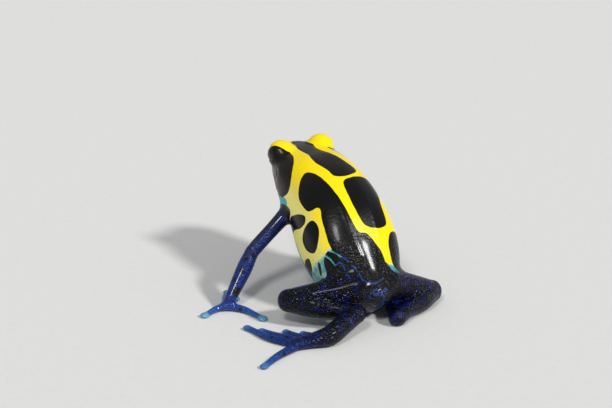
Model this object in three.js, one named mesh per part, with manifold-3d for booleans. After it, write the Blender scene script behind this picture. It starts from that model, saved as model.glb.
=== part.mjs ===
// A dyeing poison dart frog at life size, sitting with its front raised on its arms, its left arm and
// left leg spread to the side and its right foot tucked under it.
// Millimetres. +Z is up, the frog faces -Y, its left side is +X, and it rests on z = 0.
import * as THREE from "three";
import { mergeVertices } from "three/addons/utils/BufferGeometryUtils.js";
import Module from "manifold-3d";

const wasm = await Module();
wasm.setup();

// Driving sizes
const SVL = 45; // snout to vent, along the back
const GAP = 0.3; // clearance between neighbouring pieces
const EYEBALL_R = 0.05 * SVL;
const LID_R = EYEBALL_R + 0.5;
const TYMPANUM_R = 0.024 * SVL;
const NOSTRIL_R = 0.4;
const FLAT_DEPTH = 0.12; // how much of a round foot or finger the floor flattens

// The body from snout to vent, one row a section:
// y and z of its widest level, pitch of the spine in degrees, half width, height above, depth below, and
// how round its top is, where 1 is an ellipse and less is flatter.
const BODY = [
  [-41.2, 23.0, 0, 2.0, 1.4, 1.4, 0.85],
  [-40.6, 22.9, 0, 3.4, 2.5, 2.4, 0.8],
  [-39.0, 22.7, 0, 4.6, 3.4, 3.5, 0.8],
  [-36.4, 22.4, 0, 5.8, 4.1, 4.6, 0.75],
  [-33.2, 22.0, 2, 7.0, 4.9, 5.9, 0.75],
  [-30.0, 21.3, 4, 7.9, 5.8, 7.0, 0.8],
  [-27.0, 20.3, 9, 8.3, 6.9, 7.7, 0.85],
  [-23.6, 18.7, 18, 8.6, 8.2, 8.2, 0.85],
  [-20.0, 16.3, 30, 9.2, 9.3, 8.4, 0.85],
  [-16.2, 13.3, 38, 9.7, 9.6, 8.6, 0.85],
  [-12.4, 10.5, 40, 9.5, 8.6, 8.8, 0.85],
  [-8.6, 8.4, 36, 8.4, 6.9, 9.0, 0.9],
  [-5.0, 7.0, 28, 6.4, 5.0, 8.2, 0.95],
  [-1.9, 6.4, 18, 4.0, 3.0, 5.0, 1.0],
  [-0.2, 6.2, 10, 2.2, 1.5, 2.2, 1.0],
];
const SNOUT_END = 0.3; // how far the ends bulge past the first and last rows
const VENT_END = 0.9;
const BODY_SIDES = 24;
const BODY_STEPS = 2; // rings from one row to the next

// Where the head ends and the mouth lies, as points and slopes in the YZ plane
const NECK = { y: -26.6, z: 20.0, slope: 12 };
const MOUTH = { y: -41.0, z: 21.7, slope: 6.5, end: -29.2 };

const EYE = new THREE.Vector3(4.9, -35.0, 25.4);
const LID_SHIFT = new THREE.Vector3(-0.42, 0.15, 0.1); // from the eyeball's centre to the lid's
const NOSTRIL = new THREE.Vector3(2.55, -40.3, 24.6);
const TYMPANUM = new THREE.Vector3(7.42, -31.2, 22.6);
const TYMPANUM_FACE = new THREE.Vector3(0.96, -0.27, 0.1).normalize();

// Limbs: joints, then the half width and half height of each section along them
const ARM = { shoulder: 1.9, upper: 1.5, elbow: 1.45, forearm: 1.6, wrist: 1.25 };
const LEG = { hip: 3.0, thigh: 2.8, knee: 1.95, calf: 2.4, shin: 1.75, heel: 1.75, ankle: 1.95 };
const PALM = { width: 1.5, height: 1.0 };
const SOLE = { width: 1.95, height: 1.2 };
const FINGER = { root: 0.8, shaft: 0.68, neck: 0.56, disc: 0.98, discHeight: 0.52 };
const TOE = { root: 0.88, shaft: 0.72, neck: 0.6, disc: 0.85, discHeight: 0.52 };

const POSE = {
  left: {
    shoulder: [5.6, -25.8, 17.9],
    elbow: [16.2, -24.4, 9.8],
    wrist: [22.5, -20.9, 2.5],
    palm: [23.2, -20.7, 1.1],
    hip: [3.4, -3.6, 7.1],
    knee: [15.8, -9.1, 5.0],
    heel: [5.6, 0.4, 3.9],
    ankle: [13.0, 3.2, 1.9],
    sole: [18.6, 1.9, 1.0],
    fingers: [
      { from: [22.4, -21.6], bend: [21.2, -23.0], tip: [20.2, -23.9] },
      { from: [23.4, -21.8], bend: [22.0, -24.9], tip: [20.3, -27.6] },
      { from: [23.8, -20.6], bend: [26.0, -20.6], tip: [29.0, -19.4] },
      { from: [22.8, -19.8], bend: [21.0, -17.6], tip: [19.4, -12.9] },
    ],
    toes: [
      { from: [14.6, 1.8], bend: [15.0, -0.6], tip: [15.6, -2.8] },
      { from: [16.6, 1.4], bend: [17.6, -1.8], tip: [18.2, -5.0] },
      { from: [18.2, 1.4], bend: [20.6, -3.2], tip: [22.2, -7.6] },
      { from: [19.2, 1.8], bend: [22.4, -3.2], tip: [24.1, -10.2] },
      { from: [19.4, 2.4], bend: [24.4, 4.4], tip: [28.7, 6.9] },
    ],
  },
  right: {
    shoulder: [-5.6, -25.6, 17.2],
    elbow: [-12.8, -21.5, 9.4],
    wrist: [-14.6, -29.2, 2.5],
    palm: [-14.6, -30.0, 1.1],
    hip: [-3.4, -3.8, 6.9],
    knee: [-14.6, -5.6, 2.4],
    heel: [-3.2, 0.8, 1.6],
    ankle: [-6.8, -7.2, 1.5],
    sole: [-9.2, -12.4, 1.0],
    fingers: [
      { from: [-14.0, -30.4], bend: [-11.8, -31.4], tip: [-9.6, -32.2] },
      { from: [-14.2, -31.0], bend: [-13.0, -34.0], tip: [-11.6, -36.6] },
      { from: [-14.8, -31.0], bend: [-14.8, -35.2], tip: [-14.6, -39.4] },
      { from: [-15.2, -30.4], bend: [-17.8, -33.0], tip: [-20.2, -35.4] },
    ],
    toes: [
      { from: [-7.6, -9.8], bend: [-6.2, -12.0], tip: [-5.2, -14.0] },
      { from: [-8.4, -11.8], bend: [-7.0, -15.4], tip: [-6.2, -18.6] },
      { from: [-9.2, -12.8], bend: [-9.4, -17.6], tip: [-10.0, -22.2] },
      { from: [-9.8, -12.6], bend: [-12.2, -18.6], tip: [-14.8, -24.2] },
      { from: [-10.0, -12.0], bend: [-13.6, -14.4], tip: [-17.4, -16.8] },
    ],
  },
};

// The middle of the finished frog's outline on the floor, which becomes the origin
const MIDDLE = { x: 4.32, y: -16.93 };

const LOOKS = {
  yellow: { color: 0xf2d21c, roughness: 0.35, metalness: 0 },
  blue: { color: 0x1c2f9a, roughness: 0.35, metalness: 0 },
  eye: { color: 0x14100d, roughness: 0.08, metalness: 0 },
};

const vec = (p) => new THREE.Vector3(p[0], p[1], p[2]);

// A closed mesh from rings of equally many points, with a pole at each end
function skin(rings, first, last) {
  const sides = rings[0].length;
  const points = [...rings.flat(), first, last];
  const pole = (at) => rings.length * sides + at;
  const faces = [];
  for (let j = 0; j < sides; j++) {
    const k = (j + 1) % sides;
    faces.push(pole(0), k, j);
    for (let i = 0; i < rings.length - 1; i++) {
      const [a, b, c, d] = [i * sides + j, i * sides + k, (i + 1) * sides + j, (i + 1) * sides + k];
      faces.push(a, b, d, a, d, c);
    }
    const end = (rings.length - 1) * sides;
    faces.push(end + j, end + k, pole(1));
  }
  const geometry = new THREE.BufferGeometry().setFromPoints(points);
  geometry.setIndex(faces);
  return geometry;
}

// A three.js geometry as a solid that can be joined and cut
function solid(geometry) {
  const plain = new THREE.BufferGeometry().setAttribute("position", geometry.getAttribute("position"));
  plain.setIndex(geometry.index);
  const merged = mergeVertices(plain, 1e-4);
  const mesh = new wasm.Mesh({
    numProp: 3,
    vertProperties: new Float32Array(merged.getAttribute("position").array),
    triVerts: new Uint32Array(merged.index.array),
  });
  const made = new wasm.Manifold(mesh);
  if (made.volume() > 0) return made;
  for (let i = 0; i < mesh.triVerts.length; i += 3)
    [mesh.triVerts[i], mesh.triVerts[i + 1]] = [mesh.triVerts[i + 1], mesh.triVerts[i]];
  return new wasm.Manifold(mesh);
}

function ball(centre, radius, around = 20, up = 12) {
  const geometry = new THREE.SphereGeometry(radius, around, up);
  geometry.translate(centre.x, centre.y, centre.z);
  return solid(geometry);
}

// The limb or digit that runs through stations of [x, y, z, half width, half height], with round ends
function limb(stations, { sides = 12, steps = 2, grow = 0 } = {}) {
  const path = new THREE.CatmullRomCurve3(stations.map(vec), false, "centripetal");
  const sizes = new THREE.CatmullRomCurve3(stations.map((s) => new THREE.Vector3(s[3] + grow, s[4] + grow, 0)));
  const count = (stations.length - 1) * steps;
  const ring = (t, slide, shrink) => {
    const along = path.getTangent(t);
    const side = new THREE.Vector3(0, 0, 1).cross(along).normalize();
    const top = along.clone().cross(side);
    const { x: width, y: height } = sizes.getPoint(t);
    const centre = path.getPoint(t).addScaledVector(along, slide * height);
    return Array.from({ length: sides }, (_, j) => {
      const angle = (2 * Math.PI * j) / sides;
      return centre
        .clone()
        .addScaledVector(side, width * shrink * Math.cos(angle))
        .addScaledVector(top, height * shrink * Math.sin(angle));
    });
  };
  const rings = [ring(0, -0.7, 0.7)];
  for (let i = 0; i <= count; i++) rings.push(ring(i / count, 0, 1));
  rings.push(ring(1, 0.7, 0.7));
  const end = (t, sign) =>
    path.getPoint(t).addScaledVector(path.getTangent(t), sign * sizes.getPoint(t).y);
  return solid(skin(rings, end(0, -1), end(1, 1)));
}

// The whole body, or a copy that is larger all round by grow
function body(grow = 0) {
  const rows = BODY.map(([y, z, pitch, ...rest]) => ({ at: new THREE.Vector3(y, z, pitch), rest }));
  const at = new THREE.CatmullRomCurve3(rows.map((r) => r.at));
  const sizes = new THREE.CatmullRomCurve3(rows.map((r) => new THREE.Vector3(...r.rest.slice(0, 3))));
  const flat = new THREE.CatmullRomCurve3(rows.map((r) => new THREE.Vector3(r.rest[3], 0, 0)));
  const count = (BODY.length - 1) * BODY_STEPS;
  const rings = [];
  for (let i = 0; i <= count; i++) {
    const { x: y, y: z, z: pitch } = at.getPoint(i / count);
    const { x: width, y: above, z: below } = sizes.getPoint(i / count);
    const round = flat.getPoint(i / count).x;
    const tilt = THREE.MathUtils.degToRad(pitch);
    rings.push(
      Array.from({ length: BODY_SIDES }, (_, j) => {
        const angle = (2 * Math.PI * j) / BODY_SIDES;
        const [s, c] = [Math.sin(angle), Math.cos(angle)];
        const power = c > 0 ? round : 1;
        const across = Math.sign(s) * Math.abs(s) ** power * (width + grow);
        const high = Math.sign(c) * Math.abs(c) ** power * ((c > 0 ? above : below) + grow);
        return new THREE.Vector3(across, y + high * Math.sin(tilt), z + high * Math.cos(tilt));
      }),
    );
  }
  const [snout, vent] = [BODY[0], BODY.at(-1)];
  return solid(
    skin(
      rings,
      new THREE.Vector3(0, snout[0] - SNOUT_END - grow, snout[1]),
      new THREE.Vector3(0, vent[0] + VENT_END + grow, vent[1]),
    ),
  );
}

// The part of a solid on the side of a plane that its normal points to, less half a gap
function keep(shape, point, normal) {
  const n = normal.clone().normalize();
  return shape.trimByPlane([n.x, n.y, n.z], n.dot(point) + GAP / 2);
}

function onFloor(shape) {
  return shape.trimByPlane([0, 0, 1], 0);
}

// The normal of the plane that parts two segments meeting at a joint, pointing into the first
function parting(before, joint, after) {
  const first = vec(before).sub(vec(joint)).normalize();
  const second = vec(after).sub(vec(joint)).normalize();
  return first.sub(second);
}

function largest(shape) {
  return shape.decompose().reduce((a, b) => (a.volume() > b.volume() ? a : b));
}

const station = (p, width, height = width) => [p[0], p[1], p[2], width, height];
const between = (p, q, t) => p.map((v, i) => v + (q[i] - v) * t);
const ORDINALS = ["first", "second", "third", "fourth", "fifth"];

const whole = body();
const clear = body(GAP);
const nodes = new Map(); // name to [solid, look]

// Cuts the whole body into skull, lower jaw and torso, and gives the skull its eyes, drums and nostrils
function addHeadAndTrunk() {
  const pitched = (degrees) => {
    const a = THREE.MathUtils.degToRad(degrees);
    return new THREE.Vector3(0, Math.cos(a), -Math.sin(a));
  };
  const upward = (degrees) => pitched(degrees - 90);
  const neckAt = new THREE.Vector3(0, NECK.y, NECK.z);
  const mouthAt = new THREE.Vector3(0, MOUTH.y, MOUTH.z);
  const hingeAt = new THREE.Vector3(0, MOUTH.end, MOUTH.z);
  const backward = pitched(NECK.slope);
  const front = keep(whole, neckAt, backward.clone().negate());
  const below = keep(front, mouthAt, upward(MOUTH.slope).negate());
  let skull = keep(front, mouthAt, upward(MOUTH.slope)).add(keep(front, hingeAt, backward));
  for (const side of [1, -1]) {
    const mirror = new THREE.Vector3(side, 1, 1);
    const eye = EYE.clone().multiply(mirror);
    const lid = eye.clone().add(LID_SHIFT.clone().multiply(mirror));
    skull = skull.add(ball(lid, LID_R)).subtract(ball(eye, EYEBALL_R + GAP));
    const drum = new THREE.CylinderGeometry(TYMPANUM_R, TYMPANUM_R * 1.15, 0.5, 14);
    const facing = TYMPANUM_FACE.clone().multiply(mirror);
    drum.applyQuaternion(new THREE.Quaternion().setFromUnitVectors(new THREE.Vector3(0, 1, 0), facing));
    drum.translate(side * TYMPANUM.x, TYMPANUM.y, TYMPANUM.z);
    skull = skull.add(solid(drum));
    skull = skull.subtract(ball(NOSTRIL.clone().multiply(mirror), NOSTRIL_R, 8, 6));
    nodes.set(side > 0 ? "eye_left" : "eye_right", [ball(eye, EYEBALL_R), "eye"]);
  }
  nodes.set("head", [largest(skull), "yellow"]);
  nodes.set("lower_jaw", [largest(keep(below, hingeAt, backward.clone().negate())), "yellow"]);
  nodes.set("torso", [largest(onFloor(keep(whole, neckAt, backward))), "yellow"]);
}

// Adds the segments of an arm or leg. Neighbours are parted by the plane that halves the angle of their
// joint, and all of them are cut clear of the body. Returns the room the limb takes, gap included.
function addLimb(joints, parts) {
  const plane = (i) => parting(joints[i - 1], joints[i], joints[i + 1]);
  const room = [];
  parts.forEach(({ name, stations }, i) => {
    const cut = (grow) => {
      let shape = limb(stations, { grow });
      if (i > 0) shape = keep(shape, vec(joints[i]), plane(i).negate());
      if (i < parts.length - 1) shape = keep(shape, vec(joints[i + 1]), plane(i + 1));
      return shape;
    };
    const apart = room.slice(0, -1).reduce((shape, other) => shape.subtract(other), cut(0).subtract(clear));
    nodes.set(name, [largest(onFloor(apart)), "blue"]);
    room.push(cut(GAP));
  });
  return room.reduce((all, one) => all.add(one));
}

// One finger or toe from its root over its bend to the disc at its tip, as stations
function digit({ from, bend, tip }, size) {
  const level = (r) => r - FLAT_DEPTH;
  const near = between(bend, tip, 0.72);
  return [
    [from[0], from[1], level(size.root) + 0.15, size.root, size.root],
    [bend[0], bend[1], level(size.shaft) + 0.1, size.shaft, size.shaft],
    [near[0], near[1], level(size.neck), size.neck, size.neck],
    [tip[0], tip[1], level(size.discHeight), size.disc, size.discHeight],
  ];
}

// Adds the fingers or toes, each cut clear of the limb and of the digits before it
function addDigits(digits, size, kind, limbRoom) {
  let taken = limbRoom.add(clear);
  digits.forEach((one, i) => {
    const shape = (grow) => limb(digit(one, size), { sides: 8, steps: 2, grow });
    nodes.set(ORDINALS[i] + "_" + kind, [largest(onFloor(shape(0)).subtract(taken)), "blue"]);
    taken = taken.add(shape(GAP));
  });
}

function addArm(side, { shoulder, elbow, wrist, palm, fingers }) {
  const knuckles = between(wrist, palm, 1.9);
  const room = addLimb(
    [shoulder, elbow, wrist, palm],
    [
      {
        name: "upper_arm_" + side,
        stations: [
          station(shoulder, ARM.shoulder),
          station(between(shoulder, elbow, 0.45), ARM.upper),
          station(elbow, ARM.elbow),
        ],
      },
      {
        name: "forearm_" + side,
        stations: [
          station(elbow, ARM.elbow),
          station(between(elbow, wrist, 0.35), ARM.forearm),
          station(wrist, ARM.wrist),
        ],
      },
      {
        name: "palm_" + side,
        stations: [
          station(between(wrist, palm, -0.2), ARM.wrist),
          station(palm, PALM.width, PALM.height),
          station([knuckles[0], knuckles[1], palm[2]], PALM.width * 0.8, PALM.height * 0.8),
        ],
      },
    ],
  );
  addDigits(fingers, FINGER, "finger_" + side, room);
}

function addLeg(side, { hip, knee, heel, ankle, sole, toes }) {
  const room = addLimb(
    [hip, knee, heel, ankle, sole],
    [
      {
        name: "thigh_" + side,
        stations: [
          station(hip, LEG.hip),
          station(between(hip, knee, 0.4), LEG.thigh),
          station(between(hip, knee, 0.75), LEG.thigh * 0.88),
          station(knee, LEG.knee, LEG.knee * 1.15),
        ],
      },
      {
        name: "shank_" + side,
        stations: [
          station(knee, LEG.knee, LEG.knee * 1.15),
          station(between(knee, heel, 0.35), LEG.calf),
          station(between(knee, heel, 0.7), LEG.shin),
          station(heel, LEG.heel),
        ],
      },
      {
        name: "tarsus_" + side,
        stations: [
          station(heel, LEG.heel),
          station(between(heel, ankle, 0.5), LEG.ankle),
          station(ankle, LEG.ankle),
        ],
      },
      {
        name: "sole_" + side,
        stations: [
          station(ankle, LEG.ankle),
          station(between(ankle, sole, 0.55), SOLE.width, SOLE.height),
          station(sole, SOLE.width * 0.9, SOLE.height * 0.9),
        ],
      },
    ],
  );
  addDigits(toes, TOE, "toe_" + side, room);
}

addHeadAndTrunk();
for (const side of ["left", "right"]) {
  addArm(side, POSE[side]);
  addLeg(side, POSE[side]);
}

const frog = new THREE.Group();
for (const [name, [shape, look]] of nodes) {
  const { vertProperties, triVerts } = shape.translate(-MIDDLE.x, -MIDDLE.y, 0).getMesh();
  const geometry = new THREE.BufferGeometry();
  geometry.setAttribute("position", new THREE.BufferAttribute(vertProperties, 3));
  geometry.setIndex(new THREE.BufferAttribute(triVerts, 1));
  geometry.computeVertexNormals();
  const mesh = new THREE.Mesh(geometry, new THREE.MeshStandardMaterial(LOOKS[look]));
  mesh.name = name;
  frog.add(mesh);
}

export default frog;
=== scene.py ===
"""A dyeing poison dart frog at life size, in metres. +Z is up, it faces -Y, and its left side is +X."""

import math

import bpy
import numpy as np
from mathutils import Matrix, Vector


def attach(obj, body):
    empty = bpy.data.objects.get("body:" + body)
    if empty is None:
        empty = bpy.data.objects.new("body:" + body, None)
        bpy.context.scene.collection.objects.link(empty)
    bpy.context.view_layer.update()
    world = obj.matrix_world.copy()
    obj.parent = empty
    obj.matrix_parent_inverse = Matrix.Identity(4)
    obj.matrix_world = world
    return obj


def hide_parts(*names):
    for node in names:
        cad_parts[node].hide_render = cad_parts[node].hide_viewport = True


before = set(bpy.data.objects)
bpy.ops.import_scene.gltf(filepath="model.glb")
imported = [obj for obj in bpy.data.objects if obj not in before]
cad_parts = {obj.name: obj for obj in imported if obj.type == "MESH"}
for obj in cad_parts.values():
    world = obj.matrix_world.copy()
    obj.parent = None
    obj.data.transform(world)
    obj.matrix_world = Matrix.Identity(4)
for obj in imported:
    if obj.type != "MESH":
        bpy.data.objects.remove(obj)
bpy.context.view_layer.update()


# The floor is a wide sheet of matt off-white card, lying level under the frog.
# Soft light comes from the pale room, and two bright lamps stand high behind the frog.
# The camera looks down on the frog's back from behind its left side, with a long lens.
MM = 0.001
MIDDLE = np.array((4.32, -16.93, 0.0))  # mm from the vent to the origin, the middle of the frog's outline


def spot_of(point):
    """A point given in mm from the vent, in the model's own metres."""
    return Vector((np.asarray(point, float) - MIDDLE) * MM)


def linear(red, green, blue):
    """A colour as it looks on screen, 0 to 255, as the light it sends back."""
    parts = [c / 255 for c in (red, green, blue)]
    return (*[c / 12.92 if c < 0.04045 else ((c + 0.055) / 1.055) ** 2.4 for c in parts], 1.0)


class Paint:
    """A value or colour that varies over a surface: one socket of a material's nodes."""

    def __init__(self, tree, socket=None):
        self.tree, self.socket = tree, socket

    def node(self, kind, settings=None, sockets=None, out=0):
        """A new node, with its settings made first and then its sockets set or linked."""
        made = self.tree.nodes.new("ShaderNode" + kind)
        for name, value in (settings or {}).items():
            if name == "stops":
                ramp = made.color_ramp.elements
                while len(ramp) < len(value):
                    ramp.new(1.0)
                for stop, (place, shade) in zip(ramp, value):
                    stop.position, stop.color = place, shade
            else:
                setattr(made, name, value)
        for name, value in (sockets or {}).items():
            if isinstance(value, Paint):
                self.tree.links.new(value.socket, made.inputs[name])
            else:
                made.inputs[name].default_value = value
        return Paint(self.tree, made.outputs[out])

    def math(self, operation, first, second=0.0):
        return self.node("Math", {"operation": operation}, {0: first, 1: second})

    def __add__(self, other):
        return self.math("ADD", self, other)

    def __sub__(self, other):
        return self.math("SUBTRACT", self, other)

    def __rsub__(self, other):
        return self.math("SUBTRACT", other, self)

    def __mul__(self, other):
        return self.math("MULTIPLY", self, other)

    __radd__ = __add__
    __rmul__ = __mul__

    def most(self, other):
        return self.math("MAXIMUM", self, other)

    def rise(self, low, high):
        """0 below low and 1 above high, with a soft slope between."""
        sockets = {"Value": self, "From Min": low, "From Max": high}
        return self.node("MapRange", {"interpolation_type": "SMOOTHSTEP"}, sockets)

    def shade(self, none, full):
        """The colour none where this is 0 and full where it is 1."""
        return self.node("Mix", {"data_type": "RGBA"}, {0: self, 6: none, 7: full}, out=2)


def new_material(name, **constants):
    """A material, its shader and the start of its node expressions."""
    material = bpy.data.materials.new(name)
    material.use_nodes = True
    shader = material.node_tree.nodes["Principled BSDF"]
    for socket, value in constants.items():
        shader.inputs[socket.replace("_", " ")].default_value = value
    return material, shader, Paint(material.node_tree)


def finish_with(shader, **varying):
    """Links each varying value to the shader's socket of that name."""
    for socket, paint in varying.items():
        paint.tree.links.new(paint.socket, shader.inputs[socket.replace("_", " ")])


def new_object(name, points, faces, material):
    mesh = bpy.data.meshes.new(name)
    mesh.from_pydata(points, [], faces)
    mesh.materials.append(material)
    mesh.shade_smooth()
    made = bpy.data.objects.new(name, mesh)
    bpy.context.scene.collection.objects.link(made)
    return made


CARD_SIZE = 3.0
CARD_TONES = (linear(221, 220, 216), linear(227, 226, 223))
FIBRES_PER_METRE = 700.0
card_look, card_shader, card = new_material("off_white_card", Roughness=0.9)
card_place = card.node("TexCoord", out="Object")
fibre = card.node("TexNoise", {}, {"Vector": card_place, "Scale": FIBRES_PER_METRE, "Detail": 3.0})
finish_with(card_shader, Base_Color=fibre.shade(*CARD_TONES))
corners = [(x * CARD_SIZE / 2, y * CARD_SIZE / 2, 0.0) for x, y in ((-1, -1), (1, -1), (1, 1), (-1, 1))]
floor = new_object("floor", corners, [(0, 1, 2, 3)], card_look)

ROOM_COLOUR = linear(232, 236, 242)
ROOM_LIGHT = 0.4
room = bpy.data.worlds.new("pale_room")
room.use_nodes = True
glow = room.node_tree.nodes["Background"]
glow.inputs["Color"].default_value = ROOM_COLOUR
glow.inputs["Strength"].default_value = ROOM_LIGHT
bpy.context.scene.world = room
bpy.context.scene.view_settings.view_transform = "Standard"

LAMPS = {  # direction from the frog, width as seen from it in degrees, and strength
    "right_lamp": ((-0.38, 0.66, 0.65), 7.0, 2.1),
    "left_lamp": ((0.45, 0.47, 0.76), 11.0, 0.95),
}
for name, (direction, width, strength) in LAMPS.items():
    lamp = bpy.data.lights.new(name, "SUN")
    lamp.angle = math.radians(width)
    lamp.energy = strength
    holder = bpy.data.objects.new(name, lamp)
    holder.location = Vector(direction)
    holder.rotation_euler = Vector(direction).to_track_quat("Z", "Y").to_euler()
    bpy.context.scene.collection.objects.link(holder)

CAMERA_TURN = math.radians(152)  # round from the frog's front, towards its left
CAMERA_TILT = math.radians(22)
CAMERA_REACH = 400  # mm
SIGHT = (0.0, -16.0, 12.0)  # mm from the vent, level with the pixel below
SIGHT_PIXEL = (343.5, 241.4)
PHOTO = (612, 408)
PIXELS_PER_MM = 5.0
SENSOR = 36.0  # mm wide
SEEN_FROM, SEEN_TO = 0.01, 10.0  # m in front of the lens
back = Vector(
    (
        math.sin(CAMERA_TURN) * math.cos(CAMERA_TILT),
        -math.cos(CAMERA_TURN) * math.cos(CAMERA_TILT),
        math.sin(CAMERA_TILT),
    )
)
right = Vector((math.cos(CAMERA_TURN), math.sin(CAMERA_TURN), 0.0))
above = back.cross(right)
lens = bpy.data.cameras.new("camera")
lens.sensor_width = SENSOR
lens.lens = PIXELS_PER_MM * CAMERA_REACH * SENSOR / PHOTO[0]
lens.clip_start = SEEN_FROM
lens.clip_end = SEEN_TO
camera = bpy.data.objects.new("camera", lens)
camera.location = spot_of(SIGHT) + back * CAMERA_REACH * MM
aside = (PHOTO[0] / 2 - SIGHT_PIXEL[0]) / PIXELS_PER_MM * MM
aloft = (SIGHT_PIXEL[1] - PHOTO[1] / 2) / PIXELS_PER_MM * MM
aim = spot_of(SIGHT) + right * aside + above * aloft
camera.rotation_euler = (camera.location - aim).to_track_quat("Z", "Y").to_euler()
bpy.context.scene.collection.objects.link(camera)
bpy.context.scene.camera = camera


# The skin covers the whole frog in one piece: head, lids, lips, trunk and limbs down to the discs of the
# fingers and toes. It is thin, wet and finely granular over flesh and bone. Here it is the surface of
# rounded volumes that melt into each other, in mm from the vent.
STEP = 0.15  # between the points where the volumes are sampled
LOWEST, HIGHEST = (-21.3, -42.4, -0.4), (30.9, 8.7, 28.9)
FAR = 9.0  # the distance that stands for anything out of reach
XS, YS, ZS = (np.arange(a, b, STEP, dtype=np.float32) for a, b in zip(LOWEST, HIGHEST))
flesh = np.full((len(XS), len(YS), len(ZS)), FAR, np.float32)

# Sections from snout to vent: y and z of the widest level, pitch in degrees, half width, height above,
# depth below, and how round the top is
BODY = np.array(
    (
        (-40.6, 22.9, 0, 3.4, 2.5, 2.4, 0.8),
        (-39.0, 22.7, 0, 4.6, 3.4, 3.5, 0.8),
        (-36.4, 22.4, 0, 5.8, 4.1, 4.6, 0.75),
        (-33.2, 22.0, 2, 7.0, 4.9, 5.9, 0.75),
        (-30.0, 21.3, 4, 7.9, 5.8, 7.0, 0.8),
        (-27.0, 20.3, 9, 8.3, 6.9, 7.7, 0.85),
        (-23.6, 18.7, 18, 8.6, 8.2, 8.2, 0.85),
        (-20.0, 16.3, 30, 9.2, 9.3, 8.4, 0.85),
        (-16.2, 13.3, 38, 9.7, 9.6, 8.6, 0.85),
        (-12.4, 10.5, 40, 9.5, 8.6, 8.8, 0.85),
        (-8.6, 8.4, 36, 8.4, 6.9, 9.0, 0.9),
        (-5.0, 7.0, 28, 6.4, 5.0, 8.2, 0.95),
        (-1.9, 6.4, 18, 4.0, 3.0, 5.0, 1.0),
        (-0.2, 6.2, 10, 2.2, 1.5, 2.2, 1.0),
    )
)
SECTION_STEPS = 20
SNOUT_END, VENT_END = 0.95, 0.9  # how far the ends bulge past the first and last sections


def smooth_run(points, between, closed=False):
    """Points on the smooth curve through the given ones, with so many steps from one to the next."""
    points = np.asarray(points, float)
    if closed:
        padded = np.vstack((points[-1:], points, points[:2]))
    else:
        padded = np.vstack((2 * points[0] - points[1], points, 2 * points[-1] - points[-2]))
    run = []
    for a, b, c, d in zip(padded, padded[1:], padded[2:], padded[3:]):
        for t in np.arange(between) / between:
            square, cube = 2 * a - 5 * b + 4 * c - d, 3 * b - a - 3 * c + d
            run.append(0.5 * (2 * b + (c - a) * t + square * t**2 + cube * t**3))
    if not closed:
        run.append(points[-1])
    return np.array(run)


sections = smooth_run(BODY, SECTION_STEPS)
sections[:, 2] = np.radians(sections[:, 2])


def section_at(y, z):
    """The section that passes through each point, with its fraction, and how far past the ends it lies."""
    back, up, pitch = y[..., None] - sections[:, 0], z[..., None] - sections[:, 1], sections[:, 2]
    ahead = back * np.cos(pitch) - up * np.sin(pitch)
    passed = (ahead > 0).sum(-1)
    first = np.clip(passed - 1, 0, len(sections) - 2)
    before = np.take_along_axis(ahead, first[..., None], -1)[..., 0]
    after = np.take_along_axis(ahead, first[..., None] + 1, -1)[..., 0]
    number = first + np.clip(before / (before - after), 0, 1)
    beyond = np.where(passed == 0, -ahead[..., 0] / SNOUT_END, 0.0)
    beyond = np.where(passed == len(sections), ahead[..., -1] / VENT_END, beyond)
    return number, beyond


def section_sizes(number):
    """The seven values of BODY at each section number."""
    return [np.interp(number, np.arange(len(sections)), sections[:, k]) for k in range(7)]


def join(shape, other, blend):
    """Two volumes as one, with a fillet where they meet."""
    overlap = np.clip(1 - np.abs(shape - other) / blend, 0, 1)
    return np.minimum(shape, other) - overlap**2 * (blend / 4)


def carve(shape, cutter, blend):
    """A volume with another cut out of it, and the edge rounded."""
    return -join(-shape, cutter, blend)


def around(low, high):
    """The sampled points within a box, as slices of the grid, and their coordinates."""
    part = []
    for axis, a, b in zip((XS, YS, ZS), low, high):
        first, last = np.searchsorted(axis, (a, b))
        part.append(slice(max(first, 0), max(last, first + 1)))
    x, y, z = XS[part[0]], YS[part[1]], ZS[part[2]]
    return tuple(part), x[:, None, None], y[None, :, None], z[None, None, :]


TRUNK_BOX = ((-11.0, -42.4, -0.4), (11.0, 2.0, 28.9))
LEAST_SLOPE = 0.03
trunk_part, tx, ty, tz = around(*TRUNK_BOX)
plane_y, plane_z = np.meshgrid(ty.ravel(), tz.ravel(), indexing="ij")
number, beyond = section_at(plane_y, plane_z)
centre_y, centre_z, pitch, half, over, under, roundness = section_sizes(number)
high = (plane_y - centre_y) * np.sin(pitch) + (plane_z - centre_z) * np.cos(pitch)
power = np.where(high > 0, 2 / roundness, 2.0).astype(np.float32)
high = np.abs(high / np.where(high > 0, over, under)).astype(np.float32) ** power
half = half.astype(np.float32)
full = ((np.abs(tx) / half) ** power + high) ** (1 / power)
full = np.sqrt(full**2 + beyond.astype(np.float32) ** 2)
slope = np.sqrt(sum(g**2 for g in np.gradient(full, STEP)))
trunk = (full - 1) / np.maximum(slope, LEAST_SLOPE)

# Low swells of bone and muscle under the skin: centre, reach along x, y and z, and height, on both sides
SWELLS = (
    ((2.7, -14.0, 22.0), (1.4, 5.0, 4.0), 0.2),  # shafts of the hip bones, beside the spine
    ((3.0, -25.4, 27.0), (2.2, 2.4, 2.6), 0.2),  # shoulder blades
    ((7.0, -29.0, 20.6), (2.0, 1.6, 2.0), 0.15),  # jaw muscle behind the drum
    ((3.9, -38.4, 24.9), (1.2, 2.6, 1.0), 0.22),  # ridge from the nostril to the eye
    ((8.4, -26.0, 18.6), (2.6, 2.8, 2.4), 0.6),  # throat sac and shoulder, below the cheek
)
for (x, y, z), (reach_x, reach_y, reach_z), height in SWELLS:
    for side in (1, -1):
        trunk -= height * np.exp(
            -(((tx - side * x) / reach_x) ** 2 + ((ty - y) / reach_y) ** 2 + ((tz - z) / reach_z) ** 2)
        )

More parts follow.
